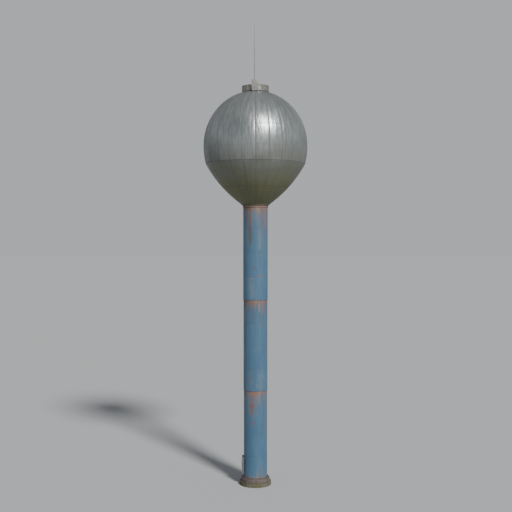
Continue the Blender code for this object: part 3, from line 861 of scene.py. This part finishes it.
class BaseFlangeOperator(bpy.types.Operator):
    """Turn the base flange and bolt it down."""

    bl_idname = "tower.base_flange"
    bl_label = "Base Flange"

    def execute(self, context):
        low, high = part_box("base_flange")
        rim = high.z - FLANGE_EDGE
        flange = turn("flange_plate", [
            (FLANGE_BORE, low.z), (high.x, low.z), (high.x, rim), (high.x - FLANGE_EDGE, high.z),
            (FLANGE_BORE + FLANGE_EDGE, high.z), (FLANGE_BORE, rim),
        ])
        hand_over(flange, "rusted_plate", ("base_flange",))
        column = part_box("door_course_right_wall")[1].x
        top = high.z + TOUCH
        bead = turn("flange_fillet_weld", [
            (column + TOUCH, top), (column + FLANGE_FILLET, top), (column + TOUCH, high.z + FLANGE_FILLET),
        ])
        hand_over(bead, "rusted_plate")
        self.bolts(context.scene.tower_fixings, top)
        return {"FINISHED"}

    def bolts(self, sizes, floor):
        """One anchor bolt with its washer and nut, then its copies round the flange."""
        centre = (sizes.anchor_circle, 0.0)
        radius = sizes.anchor_radius
        washer = turn("anchor_washer", [
            (radius, floor), (radius * 2.0, floor), (radius * 2.0, floor + WASHER_THICKNESS * 0.8),
            (radius * 1.9, floor + WASHER_THICKNESS), (radius, floor + WASHER_THICKNESS),
        ], 20, centre)
        height = radius * 1.6
        foot = floor + WASHER_THICKNESS + TOUCH
        nut = bolt_head("anchor_nut", (*centre, foot), radius * 1.75, height, radius * 0.16)
        top = foot + height
        stud = turn("anchor_stud", [
            (radius * 0.98, top + TOUCH), (radius * 0.98, top + STUD_HEIGHT - STUD_CHAMFER),
            (radius * 0.75, top + STUD_HEIGHT),
        ], 16, centre, closed=False)
        bolts = join_pieces([washer, nut, stud], "anchor_bolts")
        ring_copies(bolts, sizes.anchors)
        hand_over(bolts, "rusted_plate")


# Column

GROOVE_REACH = 0.07           # height over which the plates draw in beside a level weld
LAP_ROOM = 0.1                # a level weld stays this far above a section's foot
SAME_LEVEL = 0.01             # heights nearer than this count as one
CUT_DEPTH = 0.2               # how far the doorway's cutter runs past the frame
CUT_EDGE = 0.003              # height of the wall's cut edge, which carries its top weld
SKIN = 0.0002                 # depth that still counts as the wall's outer face


def section_profile(outer, bottom, top, seams, groove, edge):
    """Closed half section of a column tube whose plates draw in a little at each level weld."""
    wall = [(outer - edge, bottom), (outer, bottom + edge)]
    for seam in seams:
        wall += [(outer, seam - GROOVE_REACH), (outer - groove, seam), (outer, seam + GROOVE_REACH)]
    wall += [(outer, top - edge), (outer - edge, top)]
    inner = outer - PLATE
    return wall + [(inner, top), (inner, bottom)]


def near_direction(place, degrees):
    """Whether a place lies within half a facet of a direction from the tower's axis."""
    around = math.degrees(math.atan2(place.y, place.x)) - degrees
    return abs((around + 180.0) % 360.0 - 180.0) < 180.0 / COLUMN_SIDES


def section_weld(index, seams, span, skin):
    """Test for the welds of one section: its level ones, and one upright weld in each course."""
    levels = [span[0], *seams, span[1]]

    def is_weld(edge):
        if any(radius_of(vert) <= skin for vert in edge.verts):
            return False
        first, second = (vert.co for vert in edge.verts)
        if all(any(abs(place.z - seam) < SAME_LEVEL for seam in seams) for place in (first, second)):
            return True
        middle = (first.z + second.z) / 2.0
        if abs(first.z - second.z) < SAME_LEVEL or not span[0] < middle < span[1]:
            return False
        course = sum(middle > level for level in levels) + 3 * index
        return near_direction(first, WELD_DIRECTION + WELD_STAGGER * course)

    return is_weld


class ColumnOperator(bpy.types.Operator):
    """Roll the column's three slipped sections and lay their weld beads."""

    bl_idname = "tower.column"
    bl_label = "Column"

    def execute(self, context):
        sizes = context.scene.tower_column
        beads = []
        for index, part in enumerate(("lower", "middle", "upper")):
            bottom, top = COLUMN_SPANS[index]
            node = f"column_{part}_section"
            name = f"{part}_section_plates"
            low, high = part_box(node)
            heights = course_heights(bottom, top, sizes.courses)
            seams = [height for height in heights if height > low.z + LAP_ROOM]
            tube = turn(name, section_profile(high.x, low.z, high.z, seams, sizes.seam_groove, sizes.edge))
            is_weld = section_weld(index, seams, (low.z, top), high.x - PLATE / 2.0)
            beads.append(weld_beads(name + "_beads", tube, is_weld, sizes.bead, Vector(), high.x))
            hand_over(tube, "column_blue", (node,))
        hand_over(join_pieces(beads, "column_weld_beads"), "column_blue")
        return {"FINISHED"}


class DoorCourseOperator(bpy.types.Operator):
    """Roll the lowest course as one wall and cut the doorway through it."""

    bl_idname = "tower.door_course"
    bl_label = "Door Course"

    def execute(self, context):
        sizes = context.scene.tower_column
        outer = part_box("door_course_right_wall")[1].x
        profile = section_profile(outer, COLUMN_FOOT, DOOR_COURSE_TOP, [], 0.0, sizes.edge * 0.25)
        wall = turn("door_course_wall", profile)
        near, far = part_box("door_jamb_near"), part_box("door_jamb_far")
        room = Vector((CUT_DEPTH, TOUCH, TOUCH))
        low = near[0] - room
        high = Vector((near[1].x, far[1].y, far[1].z)) + room
        cutter = block("doorway_cutter", (low + high) / 2.0, high - low)
        modifier = wall.modifiers.new("doorway", "BOOLEAN")
        modifier.operation = "DIFFERENCE"
        modifier.object = cutter
        modifier.solver = "EXACT"
        apply_modifiers(wall)
        bpy.data.objects.remove(cutter)

        def at_top(vert):
            return vert.co.z > DOOR_COURSE_TOP - CUT_EDGE and radius_of(vert) > outer - SKIN

        def is_weld(edge):
            if any(radius_of(vert) < outer - PLATE / 2.0 for vert in edge.verts):
                return False
            if all(at_top(vert) for vert in edge.verts):
                return True
            return all(near_direction(vert.co, WELD_DIRECTION) for vert in edge.verts)

        beads = weld_beads("door_course_beads", wall, is_weld, sizes.bead, Vector(), outer)
        hand_over(beads, "column_blue")
        replaced = [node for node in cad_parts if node.startswith("door_course_")]
        hand_over(wall, "column_blue", replaced)
        return {"FINISHED"}


RING_EDGE = 0.008


class TopRingOperator(bpy.types.Operator):
    """Turn the rusty ring and the round plate on which the tank sits."""

    bl_idname = "tower.top_ring"
    bl_label = "Top Ring"

    def execute(self, context):
        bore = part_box("column_upper_section")[1].x + TOUCH
        for node, name, slot, finish, hollow in (
            ("column_top_ring", "neck_ring", "blue_paint", "column_blue", True),
            ("tank_bottom_plate", "neck_plate", "olive_paint", "tank_silver", False),
        ):
            low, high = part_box(node)
            rim = high.x - RING_EDGE
            profile = [
                (rim, low.z), (high.x, low.z + RING_EDGE), (high.x, high.z - RING_EDGE), (rim, high.z),
            ]
            if hollow:
                profile = [(bore, low.z), *profile, (bore, high.z)]
            hand_over(turn(name, profile, closed=hollow), finish, (node,))
        return {"FINISHED"}


# Door

# Panels pressed into the leaf, in steps of (width, depth)
LEAF_FRONT = ((0.055, 0.0), (0.012, -0.007), (0.045, 0.0), (0.010, 0.005))
LEAF_BACK = ((0.03, 0.0), (0.004, -0.006))


class DoorOperator(bpy.types.Operator):
    """Press the door's leaf and paint the frame, the hinges and the handle."""

    bl_idname = "tower.door"
    bl_label = "Door"

    def execute(self, context):
        low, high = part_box("door_leaf")
        leaf = block("pressed_leaf", (low + high) / 2.0, high - low)
        press(lambda face: face.normal.x < -0.9, *LEAF_FRONT)
        press(lambda face: face.normal.x > 0.9, *LEAF_BACK)
        fold_edges(leaf, 0.0022, 20.0)
        hand_over(leaf, "door_grey_blue", ("door_leaf",), "door")
        for node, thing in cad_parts.items():
            if node in ("door_jamb_near", "door_jamb_far", "door_sill", "door_head"):
                # the frame's paint is darkened next to the column as painted shade
                paint_over(thing, "door_frame_grey_blue")
            if node.startswith("hinge_") or node == "door_handle":
                paint_over(thing, "galvanised_steel")
        return {"FINISHED"}


# Tank

ON_SEAM = 0.0005              # heights this near to a seam are on it
ON_LINE = 0.02                # share of a gore within which a point is on the gore's edge
UPRIGHT_RISE = 0.002          # rise from which an edge counts as upright


def arc(centre, radii, low, high, steps):
    """Points of an upright ellipse, given as (radius, height), between two heights."""
    start, end = (math.asin((height - centre[1]) / radii[1]) for height in (low, high))
    angles = [start + (end - start) * step / steps for step in range(steps + 1)]
    return [(centre[0] + radii[0] * math.cos(a), centre[1] + radii[1] * math.sin(a)) for a in angles]


def ellipse(low, high, semi_height, steps, inset=0.0):
    """Points of the tank's side between two heights."""
    return arc((0.0, EQUATOR), (TANK_RADIUS - inset, semi_height - inset), low, high, steps)


def bowl(low, high, steps, inset=0.0):
    """Points of the bowl's side, an arc from the neck to the belt."""
    foot = Vector((NECK_RADIUS, BOWL_FOOT))
    rim = Vector((ellipse(BELT_SEAM, EQUATOR, BELT_SEMI_HEIGHT, 1)[0][0], BELT_SEAM))
    chord = rim - foot
    radius = (chord.length_squared / 4.0 + BOWL_SAGITTA ** 2) / (2.0 * BOWL_SAGITTA)
    inward = Vector((-chord.y, chord.x)).normalized()
    centre = (foot + rim) / 2.0 + inward * (radius - BOWL_SAGITTA)
    return arc(centre, (radius - inset, radius - inset), low, high, steps)


def dome_height(radius):
    return EQUATOR + DOME_SEMI_HEIGHT * math.sqrt(1.0 - (radius / TANK_RADIUS) ** 2)


def tank_wall(part, steps, inset=0.0):
    """Points up one course of the tank, on its outer surface or inset from it."""
    if part == "bowl_foot":
        return bowl(BOWL_FOOT + TOUCH, BOWL_SEAM, steps, inset)
    if part == "bowl_side":
        return bowl(BOWL_SEAM + TOUCH, BELT_SEAM, steps, inset)
    if part == "belt":
        return ellipse(BELT_SEAM + TOUCH, GIRTH_SEAM, BELT_SEMI_HEIGHT, steps, inset)
    if part == "dome_side":
        below = ellipse(GIRTH_SEAM + TOUCH, EQUATOR, BELT_SEMI_HEIGHT, 2, inset)
        return below + ellipse(EQUATOR, DOME_SEAM, DOME_SEMI_HEIGHT, steps, inset)[1:]
    return ellipse(DOME_SEAM + TOUCH, dome_height(CROWN_OPENING), DOME_SEMI_HEIGHT, steps, inset)


def flatten_gores(sizes):
    """Draw the middle of every gore in, so that the plates lie flatter between their welds."""
    total = sizes.gores * sizes.gore_steps
    half = math.pi / sizes.gores
    for step in range(1, sizes.gore_steps):
        off_middle = half * (2.0 * step / sizes.gore_steps - 1.0)
        flat = math.cos(half) / math.cos(off_middle)
        size = 1.0 + sizes.flatness * (flat - 1.0)

        def in_line(vert):
            around = math.atan2(vert.co.y, vert.co.x) / math.tau * total
            return round(around) % sizes.gore_steps == step

        pick("verts", in_line)
        bpy.ops.transform.resize(value=(size, size, 1.0), center_override=TANK_MIDDLE)


def faces_out(face):
    """Whether a face of the tank's shell looks away from the tank's middle."""
    direction = face.calc_center_median() - TANK_MIDDLE
    return face.normal.dot(direction) > 0.6 * direction.length


def tank_weld(part, top, gores):
    """Test for the edges of one course that carry a weld: its upright ones and its top one."""
    every = 2 if part == "bowl_foot" else 1

    def is_weld(edge):
        outward = [faces_out(face) for face in edge.link_faces]
        heights = [vert.co.z for vert in edge.verts]
        if part != "crown" and any(outward) and all(abs(height - top) < ON_SEAM for height in heights):
            return True
        lines = [math.atan2(vert.co.y, vert.co.x) / math.tau * gores / every for vert in edge.verts]
        on_line = all(abs(line - round(line)) < ON_LINE for line in lines)
        return all(outward) and on_line and max(heights) - min(heights) > UPRIGHT_RISE

    return is_weld


class TankOperator(bpy.types.Operator):
    """Form the tank's five courses, flatten their gores and lay the weld beads."""

    bl_idname = "tower.tank"
    bl_label = "Tank"

    def execute(self, context):
        sizes = context.scene.tower_tank
        beads = []
        for part, node, slot, steps in (
            ("bowl_foot", "tank_bowl_lower_course", "olive_paint", 8),
            ("bowl_side", "tank_bowl_upper_course", "olive_paint", 12),
            ("belt", "tank_belt", "silver_paint", 8),
            ("dome_side", "tank_dome_lower_course", "silver_paint", 10),
            ("crown", "tank_dome_crown", "silver_paint", 28),
        ):
            outer = tank_wall(part, steps, BEAD_ROOM)
            profile = outer + tank_wall(part, steps // 2, PLATE)[::-1]
            course = turn("plates_" + part, profile, sizes.gores * sizes.gore_steps)
            flatten_gores(sizes)
            is_weld = tank_weld(part, outer[-1][1], sizes.gores)
            beads.append(weld_beads("beads_" + part, course, is_weld, sizes.bead, TANK_MIDDLE, TANK_RADIUS))
            hand_over(course, "tank_silver", (node,))
        hand_over(join_pieces(beads, "tank_weld_beads"), "tank_silver")
        return {"FINISHED"}


# Roof

CURB_EDGE = 0.004
CURB_FILLET = 0.040
COVER_RIM = 0.035             # height of the cover's upright rim
EARTH_PLATE = Vector((0.24, 0.008, 0.22))
EARTH_PLATE_DIRECTION = 13.5  # degrees right of straight ahead
EARTH_PLATE_MIDDLE = 0.20     # above the curb's foot
EARTH_BOLTS = (0.13, 0.27)    # above the curb's foot too
CLAMP = Vector((0.075, 0.05, 0.020))
CLAMP_REACH = 0.004           # how far a clamp stands out past the cover


class RoofOperator(bpy.types.Operator):
    """Turn the roof curb and its cover, and clamp the cover down."""

    bl_idname = "tower.roof"
    bl_label = "Roof"

    def execute(self, context):
        self.curb(*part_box("roof_curb_ring"))
        low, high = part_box("roof_hatch_cover")
        radius = high.x
        rim = low.z + COVER_RIM
        rise = high.z - rim
        cover = turn("curb_cover", [
            (radius - 0.01, low.z), (radius, low.z + CURB_EDGE), (radius, rim - CURB_EDGE),
            (radius - CURB_EDGE, rim), (radius * 0.93, rim + 0.002), (radius * 0.91, rim + 0.012),
            (radius * 0.75, rim + rise * 0.4), (radius * 0.4, rim + rise * 0.85),
            (radius * 0.12, rim + rise * 0.99),
        ], closed=False)
        hand_over(cover, "curb_grey_green", ("roof_hatch_cover",))
        self.clamps(context.scene.tower_fixings.clamps, radius, rim)
        self.earth_plate(*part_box("roof_curb_ring"))
        return {"FINISHED"}

    def curb(self, low, high):
        """The curb's wall with a groove under its top, and the weld along its foot, which is painted
        near-black as dirt and as painted shade at the curb's foot.
        """
        bore = high.x - PLATE
        neck = high.x - CURB_EDGE
        wall = turn("curb_wall", [
            (bore, low.z), (high.x, low.z), (high.x, high.z - 0.055), (neck, high.z - 0.05),
            (neck, high.z - 0.02), (high.x, high.z - 0.015), (high.x, high.z - CURB_EDGE), (neck, high.z),
            (bore, high.z),
        ])
        hand_over(wall, "curb_grey_green", ("roof_curb_ring",))
        outer = high.x + TOUCH
        foot, toe = dome_height(outer), dome_height(outer + CURB_FILLET)
        bead = turn("curb_fillet_weld", [
            (outer, foot + TOUCH), (outer + CURB_FILLET, toe + TOUCH),
            (outer + CURB_FILLET * 0.4, toe + CURB_FILLET * 0.75), (outer, foot + CURB_FILLET),
        ])
        hand_over(bead, "dirty_weld")

    def earth_plate(self, low, high):
        """Bare zinc plate that lies on the curb's side, right of the box, with its two bolts."""
        wall = high.x + TOUCH
        width, thickness, _ = EARTH_PLATE
        middle = (0.0, -wall - thickness / 2.0, low.z + EARTH_PLATE_MIDDLE)
        plate = block("earth_plate", middle, EARTH_PLATE)
        for step in (0, -1, 1, -2, 2, -3, 3):
            bpy.ops.mesh.select_all(action="SELECT")
            bpy.ops.mesh.bisect(plane_co=(width * step / 8.0, 0.0, 0.0), plane_no=(1.0, 0.0, 0.0))
        for step in range(1, 5):
            across = width * step / 8.0
            pick("verts", lambda vert: abs(abs(vert.co.x) - across) < 0.001)
            bend = wall - math.sqrt(wall ** 2 - across ** 2)
            bpy.ops.transform.translate(value=(0.0, bend, 0.0))
        bolts = []
        for height in EARTH_BOLTS:
            foot = (0.0, -wall - thickness - TOUCH, low.z + height)
            bolts.append(bolt_head("earth_plate_bolt", foot, 0.014, 0.010, 0.002, forwards=True))
        reopen(join_pieces([plate, *bolts], "earth_plate"))
        bpy.ops.mesh.select_all(action="SELECT")
        bpy.ops.transform.rotate(
            value=-math.radians(EARTH_PLATE_DIRECTION), orient_axis="Z", center_override=(0.0, 0.0, 0.0),
            orient_type="GLOBAL",
        )
        hand_over(plate, "galvanised_steel")

    def clamps(self, amount, radius, rim):
        """One clamp with its bolt over the cover's edge, then its copies all round."""
        depth, _, height = CLAMP
        middle = (radius - depth / 2.0 + CLAMP_REACH, 0.0, rim + TOUCH + height / 2.0)
        body = block("cover_clamp", middle, CLAMP)
        bpy.ops.mesh.select_all(action="SELECT")
        bpy.ops.mesh.bevel(offset=0.004, segments=2)
        foot = (middle[0], 0.0, rim + TOUCH * 2.0 + height)
        nut = bolt_head("cover_clamp_nut", foot, 0.016, 0.016, 0.002)
        clamps = join_pieces([body, nut], "cover_clamps")
        ring_copies(clamps, amount)
        hand_over(clamps, "curb_grey_green")


BRACKET_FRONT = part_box("mast_box")[0].y + 0.008
BRACKET_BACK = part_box("mast_box")[1].y - 0.004
BRACKET_MARGIN = 0.05         # how much narrower than the box the bracket is
LID = ((0.03, 0.0), (0.004, -0.006), (0.006, 0.0), (0.003, 0.005))     # steps of (width, depth)
SCREW_MARGIN = 0.018          # from the lid's edge to its screws
SCREW_SINK = 0.0045           # how deep in the lid's edge a screw head starts
FOOT_NUT_CIRCLE = 0.06


class MastOperator(bpy.types.Operator):
    """Fold the mast's box, fix its lid and finish the mast."""

    bl_idname = "tower.mast"
    bl_label = "Mast"

    def execute(self, context):
        low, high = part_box("mast_box")
        box = block("box_shell", (low + high) / 2.0, high - low)
        press(lambda face: face.normal.y < -0.9, *LID)
        press(lambda face: abs(face.normal.x) > 0.9, (0.035, -0.003), apart=True)
        fold_edges(box, 0.004, 25.0)
        hand_over(box, "box_pale_grey", ("mast_box",))
        self.bracket(low, high)
        self.screws(context.scene.tower_fixings.screw_radius, low, high)
        for node in ("mast_foot", "mast_tube", "lightning_rod"):
            paint_over(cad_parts[node], "galvanised_steel")
        return {"FINISHED"}

    def bracket(self, low, high):
        """Folded bracket that carries the box from the dome."""
        foot = dome_height(abs(BRACKET_BACK)) + 0.002
        width = high.x - low.x - BRACKET_MARGIN
        size = Vector((width, BRACKET_BACK - BRACKET_FRONT, low.z - TOUCH - foot))
        middle = Vector(((low.x + high.x) / 2.0, (BRACKET_FRONT + BRACKET_BACK) / 2.0, foot + size.z / 2.0))
        bracket = block("box_bracket", middle, size)
        pick("verts", lambda vert: vert.co.z < middle.z and vert.co.y < middle.y)
        slope = dome_height(abs(BRACKET_FRONT)) - dome_height(abs(BRACKET_BACK))
        bpy.ops.transform.translate(value=(0.0, 0.0, slope))
        press(lambda face: abs(face.normal.x) > 0.9 or face.normal.y < -0.9, (0.018, -0.006), apart=True)
        fold_edges(bracket, 0.003, 25.0)
        # its paint is darkened at the foot as painted shade where it meets the dome
        hand_over(bracket, "bracket_paint")

    def screws(self, radius, low, high):
        """Domed screw heads in the edges of the box's lid, and nuts on the mast's foot."""
        heads = []
        for x in (low.x + SCREW_MARGIN, high.x - SCREW_MARGIN):
            for z in (low.z + SCREW_MARGIN, (low.z + high.z) / 2.0, high.z - SCREW_MARGIN):
                foot = (x, low.y + SCREW_SINK, z)
                heads.append(bolt_head("lid_screw", foot, radius, 0.005, 0.0015, 14, 2, forwards=True))
        foot_low, foot_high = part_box("mast_foot")
        centre = (foot_low + foot_high) / 2.0
        centre.z = foot_high.z + TOUCH
        for degrees in (45.0, 135.0, 225.0, 315.0):
            around = math.radians(degrees)
            offset = Vector((math.cos(around), math.sin(around), 0.0)) * FOOT_NUT_CIRCLE
            heads.append(bolt_head("foot_nut", centre + offset, 0.011, 0.012, 0.0015))
        hand_over(join_pieces(heads, "box_screws"), "galvanised_steel")


# Material's name: how it is made, and with what
FINISHES = {
    "tank_silver": (tank_paint,),
    "column_blue": (column_paint,),
    "rusted_plate": (rusted_steel,),
    "galvanised_steel": (galvanised,),
    "lower_step_concrete": (mossy_concrete, "concrete", 0.95),
    "upper_step_concrete": (mossy_concrete, "concrete_stained", 0.10),
    "door_grey_blue": (plain_paint, "door", 0.0, 0.5, 0.55),
    "door_frame_grey_blue": (plain_paint, "door", 0.0, 0.5, 0.55, 0.80),
    "curb_grey_green": (plain_paint, "curb", 0.50, 0.46, 0.45),
    # near-black weld paint: dirt, and painted shade along the curb's foot
    "dirty_weld": (plain_paint, "soot", 0.0, 0.75, 0.6),
    "box_pale_grey": (plain_paint, "box", 0.1, 0.5, 0.35),
    "bracket_paint": (plain_paint, "box", 0.0, 0.55, 0.4, None, dome_height(abs(BRACKET_FRONT)) + 0.05),
    "studio_floor": (floor_paint,),
}


# Stage

FLOOR_RADIUS = 900.0
FLOOR_DROP = 0.001            # how far the floor lies under the plinth
VIEW_DEPTH = 3000.0           # how far the camera sees
KEY_DISTANCE = 60.0


class StageOperator(bpy.types.Operator):
    """Lay the floor, light it and set the camera."""

    bl_idname = "tower.stage"
    bl_label = "Stage"

    def execute(self, context):
        scene = context.scene
        stage = scene.tower_stage
        let_go()
        bpy.ops.mesh.primitive_circle_add(
            vertices=128, radius=FLOOR_RADIUS, fill_type="NGON", location=(0.0, 0.0, -FLOOR_DROP),
        )
        floor = open_piece("floor")
        paint_over(floor, "studio_floor")
        let_go()
        self.light(scene, stage)
        bpy.ops.object.camera_add(
            location=(stage.camera_side, -stage.camera_distance, stage.camera_height),
            rotation=(math.radians(90.0) - stage.camera_pitch, 0.0, 0.0),
        )
        camera = context.object
        camera.data.lens = stage.lens
        camera.data.sensor_width = 36.0
        camera.data.clip_end = VIEW_DEPTH
        scene.camera = camera
        return {"FINISHED"}

    def light(self, scene, stage):
        """Soft key light from the right, and an even pale glow from all round."""
        level = math.cos(stage.key_height)
        right, ahead = level * math.sin(stage.key_azimuth), level * math.cos(stage.key_azimuth)
        towards = Vector((right, -ahead, math.sin(stage.key_height)))
        bpy.ops.object.light_add(type="SUN", location=towards * KEY_DISTANCE)
        key = bpy.context.object
        key.rotation_mode = "QUATERNION"
        key.rotation_quaternion = towards.to_track_quat("Z", "Y")
        key.data.energy = stage.key_power
        key.data.angle = stage.key_softness
        key.data.color = (1.0, 0.97, 0.93)
        world = bpy.data.worlds.new("studio")
        world.use_nodes = True
        nodes = world.node_tree.nodes
        links = world.node_tree.links
        glow = nodes["Background"]
        glow.inputs["Color"].default_value = (0.95, 0.97, 1.0, 1.0)
        split = nodes.new("ShaderNodeSeparateXYZ")
        links.new(nodes.new("ShaderNodeTexCoord").outputs["Generated"], split.inputs[0])
        band = nodes.new("ShaderNodeMapRange")
        band.interpolation_type = "SMOOTHSTEP"
        links.new(split.outputs[2], band.inputs["Value"])
        band.inputs["From Min"].default_value = math.sin(stage.band_top)
        band.inputs["From Max"].default_value = math.sin(stage.band_top + stage.band_fade)
        band.inputs["To Min"].default_value = stage.horizon
        band.inputs["To Max"].default_value = stage.fill
        links.new(band.outputs[0], glow.inputs["Strength"])
        scene.world = world


class TowerPanel(bpy.types.Panel):
    """Lists the tower's pieces and settings."""

    bl_idname = "VIEW3D_PT_tower"
    bl_label = "Water Tower"
    bl_space_type = "VIEW_3D"
    bl_region_type = "UI"
    bl_category = "Tower"

    def draw(self, context):
        layout = self.layout
        for operator in PIECE_OPERATORS:
            layout.operator(operator.bl_idname)
        for attribute, group in SETTING_GROUPS.items():
            box = layout.box()
            box.label(text=group.__doc__.rstrip("."))
            for name in group.__annotations__:
                box.prop(getattr(context.scene, attribute), name)


PIECE_OPERATORS = (
    PlinthOperator, BaseFlangeOperator, ColumnOperator, DoorCourseOperator, TopRingOperator, DoorOperator,
    TankOperator, RoofOperator, MastOperator, StageOperator,
)
SETTING_GROUPS = {
    "tower_tank": TowerTankSettings,
    "tower_column": TowerColumnSettings,
    "tower_fixings": TowerFixingSettings,
    "tower_colours": TowerColourSettings,
    "tower_stage": TowerStageSettings,
}


def register():
    for attribute, group in SETTING_GROUPS.items():
        bpy.utils.register_class(group)
        setattr(bpy.types.Scene, attribute, bpy.props.PointerProperty(type=group))
    for operator in PIECE_OPERATORS:
        bpy.utils.register_class(operator)
    bpy.utils.register_class(TowerPanel)


def unregister():
    bpy.utils.unregister_class(TowerPanel)
    for operator in reversed(PIECE_OPERATORS):
        bpy.utils.unregister_class(operator)
    for attribute, group in SETTING_GROUPS.items():
        delattr(bpy.types.Scene, attribute)
        bpy.utils.unregister_class(group)


def main():
    register()
    for operator in PIECE_OPERATORS:
        group, name = operator.bl_idname.split(".")
        getattr(getattr(bpy.ops, group), name)()


if __name__ == "__main__":
    main()
